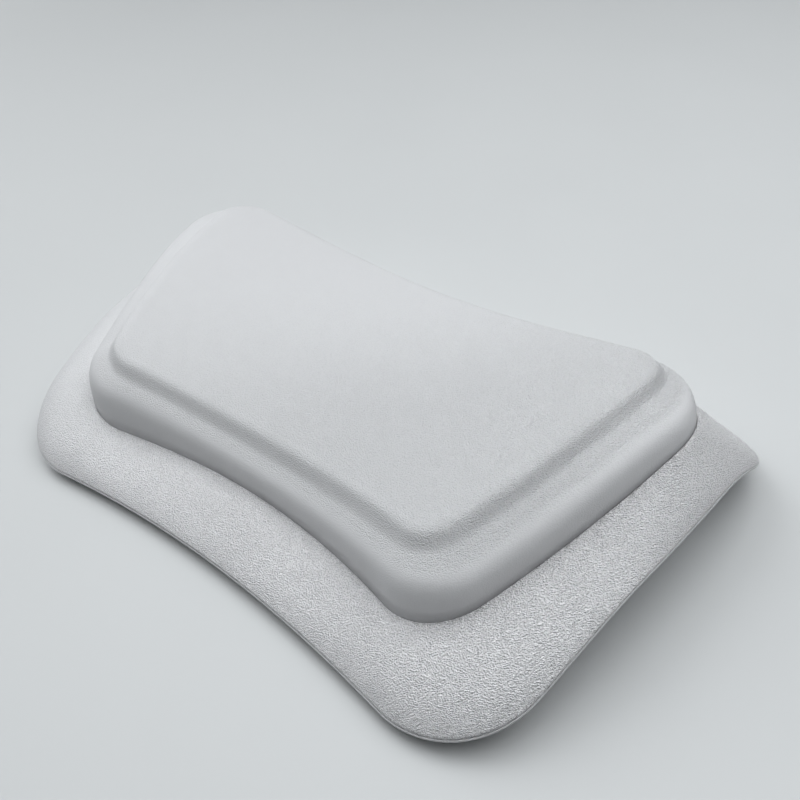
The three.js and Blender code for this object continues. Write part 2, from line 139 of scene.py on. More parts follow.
# Suction cups and sockets. The insets run from the block's edge to the axis of a cup.
CUP_NEAR_END_INSET = 40
CUP_NEAR_SIDE_INSET = 26
CUP_FAR_END_INSET = 26
CUP_FAR_SIDE_INSET = 21
CUP_NEAR = (BLOCK["end_reach"] - CUP_NEAR_END_INSET, CUP_NEAR_SIDE_INSET - BLOCK["near_reach"])
CUP_FAR = (BLOCK["end_reach"] - CUP_FAR_END_INSET, BLOCK["far_reach"] - CUP_FAR_SIDE_INSET)
CUP_PLACES = {
    "near_left": (-CUP_NEAR[0], CUP_NEAR[1]), "near_right": CUP_NEAR,
    "far_left": (-CUP_FAR[0], CUP_FAR[1]), "far_right": CUP_FAR,
}
CUP_RADIUS = 18
CUP_HEIGHT = 5.2
CUP_WALL = 1.5
CUP_LIP_WIDTH = 1.6
CUP_LIP_HEIGHT = 1
CUP_ROUND = 0.3
NECK_RADIUS = 4
HEAD_RADIUS = 6
HEAD_BOTTOM = 9
HEAD_TOP = 12.4
SOCKET_BOTTOM = 6.3
SOCKET_TOP = 14.3
SOCKET_RADIUS = 8.8
SOCKET_HOLE_RADIUS = 9.1
SOCKET_ROUND = 0.4
STEM_HOLE_RADIUS = 4.3
RIDGE_RADIUS = 9.6
COLLAR_RADIUS = 13.3
COLLAR_TOP = 7.7
CHAMBER_RADIUS = 6.8
CHAMBER_BOTTOM = 8.7
CHAMBER_TOP = 12.7

# Fullness of the rounded sections: 2 is a round quarter, 1 a straight slope. The flange's goes
# from the first value to the second over its span in Y. The draft is how far the steep end leans,
# as a share of the width.
TIER_FULLNESS = 6
TIER_DRAFT = 0.12
FLANGE_FULLNESS = (2.2, 0.9)
FLANGE_SPAN = (20, 110)
FLANGE_DRAFT = 0.25

# Curve of the bead down to the flange: reach share, height share.
BEAD_SECTION = [(0.3, 0.45), (0.6, 0.12)]

# Section of the underside from the rim to the edge of the block: plan share, height share.
UNDERSIDE_SECTION = [(0, 0), (0.1, 0.02), (0.3, 0.08), (0.5, 0.28), (0.7, 0.62), (0.86, 0.9), (1, 1)]

# Curves of the cup's dish and of its snap head: reach share, rise share.
DISH_SECTION = [(0, 1), (0.3, 0.97), (0.6, 0.78), (0.85, 0.42), (1, 0)]
HEAD_SECTION = [(1, 0), (1.02, 0.35), (0.8, 0.75), (0.45, 0.97), (0, 1)]

# Sampling, and the way that holes are cut.
SIDE_STEPS = 36
CORNER_STEPS = 18
END_STEPS = 24
FACE_SHARES = np.linspace(0.06, 1, 28)
TIER_LEVELS = np.linspace(0.02, 1, 62) ** 2
FLANGE_LEVELS = np.linspace(0.03, 1, 40)
UNDERSIDE_STEPS = 24
BLOCK_SHARES = (0.94, 0.7, 0.35)
DECK_SHARES = BLOCK_SHARES[::-1]
ROUND_STEPS = 72
CURVE_STEPS = 24
DISH_STEPS = 28
HEAD_STEPS = 20
EASE_STEPS = 5
EASE_LIMIT_SHARE = 0.45
CUT_OVERRUN = 1
SHARP_ANGLE = 40


# Outlines

def crossing(centre_a, radius_a, centre_b, radius_b):
    """The right-hand crossing of two circles."""
    span = centre_b - centre_a
    distance = np.hypot(*span)
    along = (distance**2 + radius_a**2 - radius_b**2) / (2 * distance)
    across = math.sqrt(radius_a**2 - along**2)
    unit = span / distance
    side = np.array([-unit[1], unit[0]]) * across
    foot = centre_a + unit * along
    return max(foot + side, foot - side, key=lambda p: p[0])


def towards(centre, radius, point):
    """The point at that radius from the centre, on the way to another point."""
    way = point - centre
    return centre + way * radius / np.hypot(*way)


def arc(centre, start, end, steps):
    """Points from start up to, but not including, end, the short way round the centre."""
    radius = np.hypot(*(start - centre))
    first = math.atan2(*(start - centre)[::-1])
    last = math.atan2(*(end - centre)[::-1])
    turn = math.remainder(last - first, 2 * math.pi)
    angles = first + turn * np.arange(steps) / steps
    return centre + radius * np.column_stack([np.cos(angles), np.sin(angles)])


def outline(size, inset=0.0):
    """A closed outline, mirrored about the Y axis. An inset moves all of it inwards."""
    lean = math.radians(size["end_lean"])
    end_x = size["end_reach"] - size["end_radius"] * math.cos(lean)
    near = np.array([0, -size["near_reach"] - size["near_radius"]])
    far = np.array([0, size["far_reach"] - size["far_radius"]])
    end = np.array([end_x, size["end_radius"] * math.sin(lean)])
    near_fillet = crossing(near, size["near_radius"] + size["near_corner"],
                           end, size["end_radius"] - size["near_corner"])
    far_fillet = crossing(far, size["far_radius"] - size["far_corner"],
                          end, size["end_radius"] - size["far_corner"])
    near_radius = size["near_radius"] + inset
    far_radius = size["far_radius"] - inset
    end_radius = size["end_radius"] - inset
    near_middle = near + [0, near_radius]
    far_middle = far + [0, far_radius]
    near_touch = towards(near, near_radius, near_fillet)
    end_near = towards(end, end_radius, near_fillet)
    end_far = towards(end, end_radius, far_fillet)
    far_touch = towards(far, far_radius, far_fillet)
    half = np.vstack([
        arc(near, near_middle, near_touch, SIDE_STEPS),
        arc(near_fillet, near_touch, end_near, CORNER_STEPS),
        arc(end, end_near, end_far, END_STEPS),
        arc(far_fillet, end_far, far_touch, CORNER_STEPS),
        arc(far, far_touch, far_middle, SIDE_STEPS),
        far_middle[None],
    ])
    mirrored = half[-2:0:-1] * [-1, 1]
    return np.vstack([half, mirrored])


RIM_OUTLINE = outline(RIM)

# Middle of the CAD model's rim in Y, which is where the part's frame has its origin. The outline
# above has finer steps, so its own middle lies a little to one side.
RIM_MIDDLE_Y = 2.273

# Middle of the head face in Y.
MIDDLE_Y = (FACE["far_reach"] - FACE["near_reach"]) / 2


# Heights

def smoothstep(value, span):
    """0 before the span and 1 past it, with no kink in the slope."""
    share = np.clip((value - span[0]) / (span[1] - span[0]), 0, 1)
    return share**2 * (3 - 2 * share)


def smootherstep(value, span):
    """0 before the span and 1 past it, with no kink in the slope or in the bend."""
    share = np.clip((value - span[0]) / (span[1] - span[0]), 0, 1)
    return share**3 * (10 - 15 * share + 6 * share**2)


def between(ends, share):
    """The value that far on from the first of two ends to the second."""
    return ends[0] + (ends[1] - ends[0]) * share


def face_z(plan):
    """Height of the head face over its plan: dished, tilted, and falling off at the far side."""
    end = (plan[:, 0] / FACE["end_reach"]) ** 2
    far = plan[:, 1] / FACE["far_reach"]
    rise = FACE_END_RISE * end - FACE_END_EASE * end**2 - FACE_CORNER_EASE * end * far
    fall = FACE_FAR_FALL * np.maximum(far, 0) ** 2
    return FACE_HEIGHT + rise - fall + plan[:, 1] * math.tan(math.radians(FACE_TILT))


def deck_z(plan):
    """Height of the deck under the upper tier."""
    end = (plan[:, 0] / FOOT["end_reach"]) ** 2
    far = plan[:, 1] / FOOT["far_reach"]
    rise = DECK_END_RISE * end + DECK_END_LIFT * end**2 - DECK_CORNER_EASE * end * far
    return FACE_HEIGHT - TIER_HEIGHT + rise + plan[:, 1] * math.tan(math.radians(DECK_TILT))


def rim_z(plan):
    """Height of the rim at each place of its plan."""
    near = smoothstep(-RIM["near_reach"], RIM_RISE_SPAN)
    rise = (smoothstep(plan[:, 1], RIM_RISE_SPAN) - near) / (1 - near)
    fall = smoothstep(plan[:, 1], RIM_FALL_SPAN)
    corner = RIM_CORNER_RISE * (plan[:, 0] / RIM_CORNER_REACH) ** 2 * (1 - rise)
    return RIM_NEAR_HEIGHT + corner + RIM_END_RISE * rise - RIM_FAR_FALL * fall


# Rings

def ring(plan, height, lift=0.0):
    """The points of an outline, each at its own height."""
    return np.column_stack([plan, height(plan) + lift])


def shrunk(plan, share, height, lift=0.0):
    """A ring on a smaller copy of an outline, round the middle of the pillow."""
    middle = np.array([0, MIDDLE_Y])
    return ring(middle + (plan - middle) * share, height, lift)


def rim_ring(inset, lift):
    """The rim moved inwards. Each point has its height on the rim itself, plus the lift."""
    plan = outline(RIM, inset)
    return np.column_stack([plan, rim_z(RIM_OUTLINE) + lift])


def smooth_section(points, steps):
    """A Catmull-Rom curve through the section's points, with even steps along it."""
    points = np.array(points, float)
    padded = np.vstack([2 * points[0] - points[1], points, 2 * points[-1] - points[-2]])
    curve = []
    for before, start, end, after in zip(padded, padded[1:], padded[2:], padded[3:]):
        for t in np.linspace(0, 1, CURVE_STEPS, endpoint=False):
            curve.append(0.5 * (2 * start + (end - before) * t
                                + (2 * before - 5 * start + 4 * end - after) * t**2
                                + (3 * start - before - 3 * end + after) * t**3))
    curve = np.array(curve + [points[-1]])
    lengths = np.concatenate([[0], np.cumsum(np.hypot(*np.diff(curve, axis=0).T))])
    even = np.linspace(0, lengths[-1], steps)
    return np.column_stack([np.interp(even, lengths, curve[:, i]) for i in (0, 1)])


def blended(first, last, section):
    """Rings from the first to the last, each moved on by its plan share and its height share."""
    rings = []
    for plan_share, height_share in section:
        shares = np.array([plan_share, plan_share, height_share])
        rings.append(first + (last - first) * shares)
    return rings


def quarter(level, fullness, draft):
    """Plan share and drop share that far down a quarter of a superellipse, level at its start.

    The draft is the share of its width by which the steep end leans.
    """
    angle = level * math.pi / 2
    across = math.sin(angle) ** (2 / fullness)
    down = 1 - abs(math.cos(angle)) ** (2 / fullness)
    return across + (down - across) * draft, down


# Meshes

def add_object(name, points, faces, material):
    """A smooth-shaded object from points in millimetres."""
    mesh = bpy.data.meshes.new(name)
    mesh.from_pydata((points * MM).tolist(), [], faces)
    mesh.update()
    mesh.shade_smooth()
    piece = bpy.data.objects.new(name, mesh)
    bpy.context.scene.collection.objects.link(piece)
    mesh.materials.append(material)
    return piece


def add_grain(piece, strengths):
    """Stores how deep the moulded grain is at each point, from 0 to 1."""
    grain = piece.data.attributes.new("grain", "FLOAT", "POINT")
    grain.data.foreach_set("value", np.asarray(strengths, np.float32))


def band_faces(ring_count, point_count, first, closes=False):
    """Four-sided faces between each ring and the next, whose points are counted from first."""
    faces = []
    bands = ring_count if closes else ring_count - 1
    for i in range(bands):
        low = first + i * point_count
        high = first + (i + 1) % ring_count * point_count
        for j in range(point_count):
            k = (j + 1) % point_count
            faces.append((low + j, low + k, high + k, high + j))
    return faces


def capped_points(first_pole, rings, last_pole):
    """Points and faces of a body with a fan round each pole and bands between the rings."""
    points = np.vstack([[first_pole], *rings, [last_pole]])
    count = len(rings[0])
    last = len(points) - 1
    faces = band_faces(len(rings), count, 1)
    for j in range(count):
        k = (j + 1) % count
        faces.append((0, 1 + k, 1 + j))
        faces.append((last, last - count + j, last - count + k))
    return points, faces


def in_frame(points):
    """From the outlines' plan to the part's frame, whose origin is the middle of the CAD rim."""
    return points - [0, RIM_MIDDLE_Y, 0]


def pole(height, lift=0.0):
    """A point on the upright through the middle of the head face, for a fan of faces."""
    middle = np.array([[0, MIDDLE_Y]])
    return np.array([0, MIDDLE_Y, height(middle)[0] + lift])


def face_outward(piece):
    """Turns the faces so that the body's volume is positive."""
    mesh = piece.data
    mesh.calc_loop_triangles()
    volume = 0.0
    for triangle in mesh.loop_triangles:
        a, b, c = (mesh.vertices[i].co for i in triangle.vertices)
        volume += a.dot(b.cross(c))
    if volume < 0:
        mesh.flip_normals()
    return piece


def ring_body(name, first_pole, rings, last_pole, material):
    """A closed body from one pole over its rings to the other."""
    points, faces = capped_points(first_pole, rings, last_pole)
    return face_outward(add_object(name, in_frame(points), faces, material))


def ring_frame(name, rings, material):
    """A body like a frame, whose last ring meets its first."""
    faces = band_faces(len(rings), len(rings[0]), 0, closes=True)
    return face_outward(add_object(name, in_frame(np.vstack(rings)), faces, material))


def tier_rings(inset):
    """From the middle of the head face, over its edge, the step and the shoulder, to the foot."""
    plateau = outline(FACE, inset + STEP_INSET)
    foot = ring(outline(FOOT, inset), deck_z)
    inner = [shrunk(plateau, share, face_z, -inset) for share in FACE_SHARES]
    way = foot - inner[-1]
    width = np.hypot(way[:, 0], way[:, 1])
    shoulder = between(SHOULDER_FALL, smoothstep(foot[:, 1], SHOULDER_SPAN))
    side = []
    for level in TIER_LEVELS:
        plan_share, drop_share = quarter(level, TIER_FULLNESS, TIER_DRAFT)
        step = STEP_DEPTH * smootherstep(width * plan_share, (0, STEP_WIDTH))
        fall = step + shoulder * plan_share
        lift = (way[:, 2] + STEP_DEPTH + shoulder) * drop_share - fall
        side.append(inner[-1] + np.column_stack([way[:, :2] * plan_share, lift]))
    return inner + side


def cushion_cover(material):
    """The skin of the upper tier, open at the foot, with the depth of its grain at each point."""
    outer = tier_rings(0)
    inner = tier_rings(SKIN)[::-1]
    cover = ring_body("cushion_cover", pole(face_z), outer + inner, pole(face_z, -SKIN), material)
    count = len(outer[0])
    fading = 1 - (1 - WALL_GRAIN) * smoothstep(TIER_LEVELS, GRAIN_FADE_SPAN)
    levels = np.concatenate([np.ones(len(FACE_SHARES)), fading])
    strengths = np.repeat(np.concatenate([levels, levels[::-1]]), count)
    add_grain(cover, np.concatenate([[1], strengths, [1]]))
    return cover


def cushion_foam(material):
    """The foam that fills the upper tier."""
    offset = SKIN + FOAM_GAP
    rings = tier_rings(offset)
    bottom = [shrunk(outline(FOOT, offset), share, deck_z) for share in FACE_SHARES[-2::-3]]
    return ring_body("cushion_foam", pole(face_z, -offset), rings + bottom, pole(deck_z), material)


def flange_rings(foot, rim):
    """From the foot of the upper tier over the flange to the rim."""
    fullness = between(FLANGE_FULLNESS, smoothstep(rim[:, 1], FLANGE_SPAN))
    rings = []
    for level in FLANGE_LEVELS:
        plan_share, drop_share = quarter(level, fullness, FLANGE_DRAFT)
        shares = np.column_stack([plan_share, plan_share, drop_share])
        rings.append(foot + (rim - foot) * shares)
    return rings


def flange_cover(material):
    """The skin of the flange. Its inner edge turns up a little against the upper tier."""
    lift = LIP_THICKNESS / 2 + SEAT_GAP
    bead = [
        ring(outline(FOOT, -SEAT_GAP), deck_z, -SKIN),
        ring(outline(FOOT, BEAD_LEAN), deck_z, BEAD_HEIGHT),
    ]
    for reach_share, height_share in BEAD_SECTION:
        plan = outline(FOOT, -BEAD_GAP - BEAD_REACH * reach_share)
        bead.append(ring(plan, deck_z, BEAD_HEIGHT * height_share))
    plan = outline(FOOT, -BEAD_GAP - BEAD_REACH)
    top = ring(plan, deck_z)
    bottom = ring(plan, deck_z, -SKIN)
    outside = flange_rings(top, rim_ring(LIP_REACH, lift))
    inside = flange_rings(bottom, rim_ring(LIP_REACH + SKIN, lift))[::-1]
    return ring_frame("flange_cover", bead + [top] + outside + inside + [bottom], material)


def underside_rings(rim, block_inset):
    """From the rim in to the edge of the block's flat bottom."""
    block = outline(BLOCK, block_inset)
    edge = np.column_stack([block, np.full(len(block), BLOCK_HEIGHT + block_inset)])
    return blended(rim, edge, smooth_section(UNDERSIDE_SECTION, UNDERSIDE_STEPS))


def flat_rings(size, inset, level, shares):
    """Level rings on an outline's smaller copies, one for each share."""
    def height(plan):
        return np.full(len(plan), level)

    return [shrunk(outline(size, inset), share, height) for share in shares]


def back_cover(material):
    """The skin of the underside with its lip round the rim, and a hole for each socket."""
    half = LIP_THICKNESS / 2
    ease = LIP_ROUND * LIP_EASE_SHARE
    outside = underside_rings(rim_ring(LIP_ROUND, -half), 0)[::-1]
    lip = [
        rim_ring(ease, -half + ease),
        rim_ring(0, -half + LIP_ROUND),
        rim_ring(0, half - LIP_ROUND),
        rim_ring(ease, half - ease),
        rim_ring(LIP_ROUND, half),
    ]
    inside = underside_rings(rim_ring(LIP_REACH + SKIN, half), SKIN)
    bottom = flat_rings(BLOCK, 0, BLOCK_HEIGHT, BLOCK_SHARES)[::-1]
    floor = flat_rings(BLOCK, SKIN, BLOCK_HEIGHT + SKIN, BLOCK_SHARES)
    low = np.array([0, MIDDLE_Y, BLOCK_HEIGHT])
    high = np.array([0, MIDDLE_Y, BLOCK_HEIGHT + SKIN])
    rings = bottom + outside + lip + inside + floor
    cover = ring_body("back_cover", low, rings, high, material)
    hole_bottom = BLOCK_HEIGHT - CUT_OVERRUN
    hole_top = BLOCK_HEIGHT + SKIN + CUT_OVERRUN
    return drilled(cover, SOCKET_HOLE_RADIUS, hole_bottom, hole_top)


def base_foam(material):
    """The foam of the pad and its block, with a bed for the plate and a pocket at each socket."""
    offset = SKIN + FOAM_GAP
    lift = LIP_THICKNESS / 2 + SEAT_GAP
    deck = [shrunk(outline(FOOT), share, deck_z, -SEAT_GAP) for share in DECK_SHARES]
    foot = ring(outline(FOOT), deck_z, -offset)
    bed = flange_rings(foot, rim_ring(LIP_REACH + offset, lift))
    underside = underside_rings(rim_ring(LIP_REACH + offset + FOAM_EDGE, lift), offset)
    plate_edge = SKIN + PLATE_INSET - FOAM_GAP
    plate_top = BLOCK_HEIGHT + SKIN + SEAT_GAP + PLATE_THICKNESS + FOAM_GAP
    mouth = flat_rings(BLOCK, plate_edge, BLOCK_HEIGHT + offset, (1,))
    roof = flat_rings(BLOCK, plate_edge, plate_top, (1, *BLOCK_SHARES))
    rings = deck + [foot] + bed + underside + mouth + roof
    low = np.array([0, MIDDLE_Y, plate_top])
    foam = ring_body("base_foam", pole(deck_z, -SEAT_GAP), rings, low, material)
    return drilled(foam, RIDGE_RADIUS + FOAM_GAP, BLOCK_HEIGHT, SOCKET_TOP + FOAM_GAP)


def drilled(piece, radius, bottom, top):
    """The piece with a round hole at each cup's place."""
    for place in CUP_PLACES.values():
        profile = [(0, bottom), (radius, bottom), (radius, top), (0, top)]
        cutter = turned("cutter", np.array(profile, float), place, piece.data.materials[0])
        cut = piece.modifiers.new("hole", "BOOLEAN")
        cut.operation = "DIFFERENCE"
        cut.solver = "EXACT"
        cut.object = cutter
        bpy.context.view_layer.objects.active = piece
        bpy.ops.object.modifier_apply(modifier=cut.name)
        bpy.data.objects.remove(cutter)
    piece.data.set_sharp_from_angle(angle=math.radians(SHARP_ANGLE))
    return piece


# Cups and sockets, turned about their own axes

def eased(corners, radius):
    """The profile with its corners rounded off, less where an edge is short."""
    corners = np.array(corners, float)
    points = [corners[0]]
    for before, corner, after in zip(corners, corners[1:], corners[2:]):
        back, ahead = before - corner, after - corner
        start = corner + back * min(radius / np.hypot(*back), EASE_LIMIT_SHARE)
        end = corner + ahead * min(radius / np.hypot(*ahead), EASE_LIMIT_SHARE)
        for t in np.linspace(0, 1, EASE_STEPS):
            points.append(start * (1 - t) ** 2 + corner * 2 * t * (1 - t) + end * t**2)
    return np.array(points + [corners[-1]])


def turned(name, profile, place, material):
    """A body turned about an upright axis, from a profile that starts and ends on it."""
    angles = np.arange(ROUND_STEPS) * 2 * math.pi / ROUND_STEPS
    circle = np.column_stack([np.cos(angles), np.sin(angles)])
    middle = np.array(place, float)
    rings = [np.column_stack([middle + circle * radius, np.full(ROUND_STEPS, height)])
             for radius, height in profile[1:-1]]
    first, last = (np.array([*middle, height]) for _, height in (profile[0], profile[-1]))
    return ring_body(name, first, rings, last, material)


def socket(corner, material):
    """A stud with a collar below the skin, a ridge above the plate and a chamber for the head."""
    ridge_bottom = BLOCK_HEIGHT + SKIN + SEAT_GAP + PLATE_THICKNESS + SEAT_GAP
    profile = [
        (0, SOCKET_TOP), (SOCKET_RADIUS, SOCKET_TOP),
        (RIDGE_RADIUS, ridge_bottom), (SOCKET_RADIUS, ridge_bottom),
        (SOCKET_RADIUS, COLLAR_TOP), (COLLAR_RADIUS, COLLAR_TOP), (COLLAR_RADIUS, SOCKET_BOTTOM),
        (STEM_HOLE_RADIUS, SOCKET_BOTTOM), (STEM_HOLE_RADIUS, CHAMBER_BOTTOM),
        (CHAMBER_RADIUS, CHAMBER_BOTTOM), (CHAMBER_RADIUS, CHAMBER_TOP), (0, CHAMBER_TOP),
    ]
    return turned("socket_" + corner, eased(profile, SOCKET_ROUND), CUP_PLACES[corner], material)


def suction_cup(corner, material):
    """A soft dish with a thin lip, on a neck with a snap head."""
    dish_top = CUP_HEIGHT - CUP_WALL
    lip_inner = CUP_RADIUS - CUP_LIP_WIDTH
    inside = smooth_section(DISH_SECTION, DISH_STEPS) * [lip_inner, dish_top]
    dome = smooth_section(DISH_SECTION, DISH_STEPS)[::-1]
    outside = np.column_stack([
        NECK_RADIUS + (CUP_RADIUS - NECK_RADIUS) * dome[:, 0],
        CUP_LIP_HEIGHT + (CUP_HEIGHT - CUP_LIP_HEIGHT) * dome[:, 1],
    ])
    head = smooth_section(HEAD_SECTION, HEAD_STEPS) * [HEAD_RADIUS, HEAD_TOP - HEAD_BOTTOM]
    head[:, 1] += HEAD_BOTTOM
    lip = eased([inside[-1], (CUP_RADIUS, 0), outside[0]], CUP_ROUND)
    neck = eased([outside[-1], (NECK_RADIUS, HEAD_BOTTOM), head[0]], CUP_ROUND)
    profile = np.vstack([inside[:-1], lip, outside[1:-1], neck, head[1:]])
    return turned("cup_" + corner, profile, CUP_PLACES[corner], material)


# Materials

class Nodes:
    """Short calls for building a material's node tree, with sizes and depths in millimetres."""

    def __init__(self, name):
        self.material = bpy.data.materials.new(name)
        self.material.use_nodes = True
        self.tree = self.material.node_tree
        self.shader = self.tree.nodes["Principled BSDF"]
        self.place = self.tree.nodes.new("ShaderNodeTexCoord").outputs["Object"]

    def join(self, value, socket):
        """Links an output to an input socket, or sets the input socket to a plain value."""
        if isinstance(value, bpy.types.NodeSocket):
            self.tree.links.new(value, socket)
        else:
            socket.default_value = value

    def noise(self, size, detail=2.0, vector=None, output="Fac"):
        """Noise whose blotches are about that wide."""
        node = self.tree.nodes.new("ShaderNodeTexNoise")
        node.inputs["Scale"].default_value = 1 / (size * MM)
        node.inputs["Detail"].default_value = detail
        self.join(vector or self.place, node.inputs["Vector"])
        return node.outputs[output]

    def cells(self, size, vector=None):
        """How far the nearest of many scattered points is, which lie about that far apart."""
        node = self.tree.nodes.new("ShaderNodeTexVoronoi")
        node.feature = "F1"
        node.inputs["Scale"].default_value = 1 / (size * MM)
        self.join(vector or self.place, node.inputs["Vector"])
        return node.outputs["Distance"]

    def math(self, operation, *values):
        """What an arithmetic operation makes of its values."""
        node = self.tree.nodes.new("ShaderNodeMath")
        node.operation = operation
        for value, socket in zip(values, node.inputs):
            self.join(value, socket)
        return node.outputs["Value"]

    def remap(self, value, span, results=(0.0, 1.0)):
        """The value, smoothly carried over from its span to the span of the results."""
        node = self.tree.nodes.new("ShaderNodeMapRange")
        node.interpolation_type = "SMOOTHSTEP"
        for name, number in zip(("From Min", "From Max", "To Min", "To Max"), (*span, *results)):
            node.inputs[name].default_value = number
        self.join(value, node.inputs["Value"])
        return node.outputs["Result"]

    def warped(self, size, reach):
        """The place, pushed about by noise of that size, up to about that reach."""
        node = self.tree.nodes.new("ShaderNodeVectorMath")
        node.operation = "MULTIPLY_ADD"
        self.join(self.noise(size, 1, output="Color"), node.inputs[0])
        node.inputs[1].default_value = (reach * MM,) * 3
        self.join(self.place, node.inputs[2])
        return node.outputs["Vector"]

    def stretched(self, turn, scale):
        """The place in a frame turned about the upright and stretched along its own axes."""
        node = self.tree.nodes.new("ShaderNodeMapping")
        node.vector_type = "TEXTURE"
        self.join(self.place, node.inputs["Vector"])
        node.inputs["Rotation"].default_value = (0, 0, turn)
        node.inputs["Scale"].default_value = scale
        return node.outputs["Vector"]

    def along(self, way):
        """How far a place lies in that direction, in metres."""
        node = self.tree.nodes.new("ShaderNodeVectorMath")
        node.operation = "DOT_PRODUCT"
        self.join(self.place, node.inputs[0])
        node.inputs[1].default_value = way
        return node.outputs["Value"]

    def attribute(self, name):
        """The value of that name that a piece holds at each of its points."""
        node = self.tree.nodes.new("ShaderNodeAttribute")
        node.attribute_name = name
        return node.outputs["Fac"]

    def blend(self, share, low, high):
        """A colour between two colours."""
        node = self.tree.nodes.new("ShaderNodeMix")
        node.data_type = "RGBA"
        self.join(share, node.inputs["Factor"])
        node.inputs["A"].default_value = (*low, 1)
        node.inputs["B"].default_value = (*high, 1)
        return node.outputs["Result"]

    def bump(self, height, depth, strength=1.0, normal=None):
        """A surface normal from a height field of that depth."""
        node = self.tree.nodes.new("ShaderNodeBump")
        node.inputs["Distance"].default_value = depth * MM
        self.join(strength, node.inputs["Strength"])
        self.join(height, node.inputs["Height"])
        if normal:
            self.join(normal, node.inputs["Normal"])
        return node.outputs["Normal"]

    def fade_out(self, span, color):
        """Seen directly, the surface passes into a plain glow over that span of metres."""
        away = self.tree.nodes.new("ShaderNodeVectorMath")
        away.operation = "LENGTH"
        self.join(self.place, away.inputs[0])
        seen = self.tree.nodes.new("ShaderNodeLightPath").outputs["Is Camera Ray"]
        share = self.math("MULTIPLY", self.remap(away.outputs["Value"], span), seen)
        glow = self.tree.nodes.new("ShaderNodeEmission")
        glow.inputs["Color"].default_value = (*color, 1)
        mix = self.tree.nodes.new("ShaderNodeMixShader")
        self.join(share, mix.inputs["Fac"])
        self.join(self.shader.outputs["BSDF"], mix.inputs[1])
        self.join(glow.outputs["Emission"], mix.inputs[2])
        self.join(mix.outputs["Shader"], self.tree.nodes["Material Output"].inputs["Surface"])

    def finish(self, color, roughness, normal):
        """The finished material, with its shader joined up."""
        self.join(color, self.shader.inputs["Base Color"])
        self.join(roughness, self.shader.inputs["Roughness"])
        self.join(normal, self.shader.inputs["Normal"])
        return self.material


# Lighter and darker colours. The leather's light colour is nearly white and lighter than the upper
# tier's, though both are the same white skin: partly to make up for its deep valleys, which painted
# shade darkens, and partly as painted light that keeps the flange brighter than the tier. The
# skins' dark colour carries their painted shade and the dark of their mottle.
SKIN_LIGHT = (0.565, 0.562, 0.572)
SKIN_DARK = (0.45, 0.45, 0.46)
LEATHER_LIGHT = (0.99, 0.975, 0.99)
FOAM_LIGHT = (0.86, 0.81, 0.66)
FOAM_DARK = (0.78, 0.71, 0.54)
PLATE_LIGHT = (0.74, 0.75, 0.76)
PLATE_DARK = (0.7, 0.71, 0.72)
SOCKET_LIGHT = (0.78, 0.79, 0.81)
SOCKET_DARK = (0.75, 0.76, 0.78)
VINYL_LIGHT = (0.74, 0.81, 0.84)
VINYL_DARK = (0.62, 0.71, 0.75)

# The moulded grain runs in short waves, longer one way. It is faint at the far left and reaches
# its full depth over a span along its way, in metres, and over the same span the leather gets
# painted shade that darkens it towards the far left. Where its noise is below the valley span the
# valleys get the most painted shade, and above it none.
GRAIN_TURN = math.radians(44)
GRAIN_STRETCH = (1.3, 1, 1)
GRAIN_WAY = (0.7, -0.71, 0)
GRAIN_SPAN = (-0.075, 0.05)
GRAIN_FAINT = 0.12
VALLEY_SHADE_SPAN = (0.34, 0.54)

# Spans that noise mostly fills, and how much the skin's soft unevenness and its mottle show.
NOISE_SPAN = (0.3, 0.7)
WIDE_NOISE_SPAN = (0.25, 0.75)
SOFT_SIZE = 14
SOFT_DEPTH = 0.1
SOFT_STRENGTH = 0.3
MOTTLE_SIZE = 22
MOTTLE_MOST = 0.02
SKIN_ROUGHNESS = (0.6, 0.72)


def grain_skin(name, light, pitch, depth, valley_shade_share, gloss, far_left_shade_share=0.0, graded=False):
    """White self-skinned foam with a moulded leather grain of that pitch and depth.

    The valley share paints shade into the grain's valleys with the dark colour, and the far left
    share paints shade with it where the grain is faintest, towards the far left. A graded piece also
    holds its own strength of the grain at each point.
    """
    nodes = Nodes(name)
    way = nodes.stretched(GRAIN_TURN, GRAIN_STRETCH)
    ridges = nodes.noise(pitch, detail=0.6, vector=way)
    strength = nodes.remap(nodes.along(GRAIN_WAY), GRAIN_SPAN, (GRAIN_FAINT, 1.0))
    # Painted shade: the leather is darker towards the far left, where the grain is faint.
    painted_far_left_shade = nodes.remap(strength, (GRAIN_FAINT, 1.0), (far_left_shade_share, 0.0))
    if graded:
        strength = nodes.math("MULTIPLY", nodes.attribute("grain"), strength)
    grain = nodes.bump(ridges, depth, strength)
    soft = nodes.bump(nodes.noise(SOFT_SIZE), SOFT_DEPTH, SOFT_STRENGTH, grain)
    # Painted shade in the grain's valleys, less where the grain is faint.
    valley = nodes.math("MULTIPLY", nodes.remap(ridges, VALLEY_SHADE_SPAN, (valley_shade_share, 0.0)), strength)
    mottle = nodes.remap(nodes.noise(MOTTLE_SIZE, detail=3), NOISE_SPAN, (0.0, MOTTLE_MOST))
    # The painted shade of the valleys and of the far left, and the mottle's own tone, all towards the
    # dark colour.
    shade = nodes.math("ADD", nodes.math("ADD", valley, mottle), painted_far_left_shade)
    color = nodes.blend(shade, light, SKIN_DARK)
    least, most = SKIN_ROUGHNESS
    sheen = nodes.noise(size=6, detail=3)
    roughness = nodes.remap(sheen, WIDE_NOISE_SPAN, (least - gloss, most - gloss))
    nodes.shader.inputs["Specular IOR Level"].default_value = 0.5 + gloss
    return nodes.finish(color, roughness, soft)


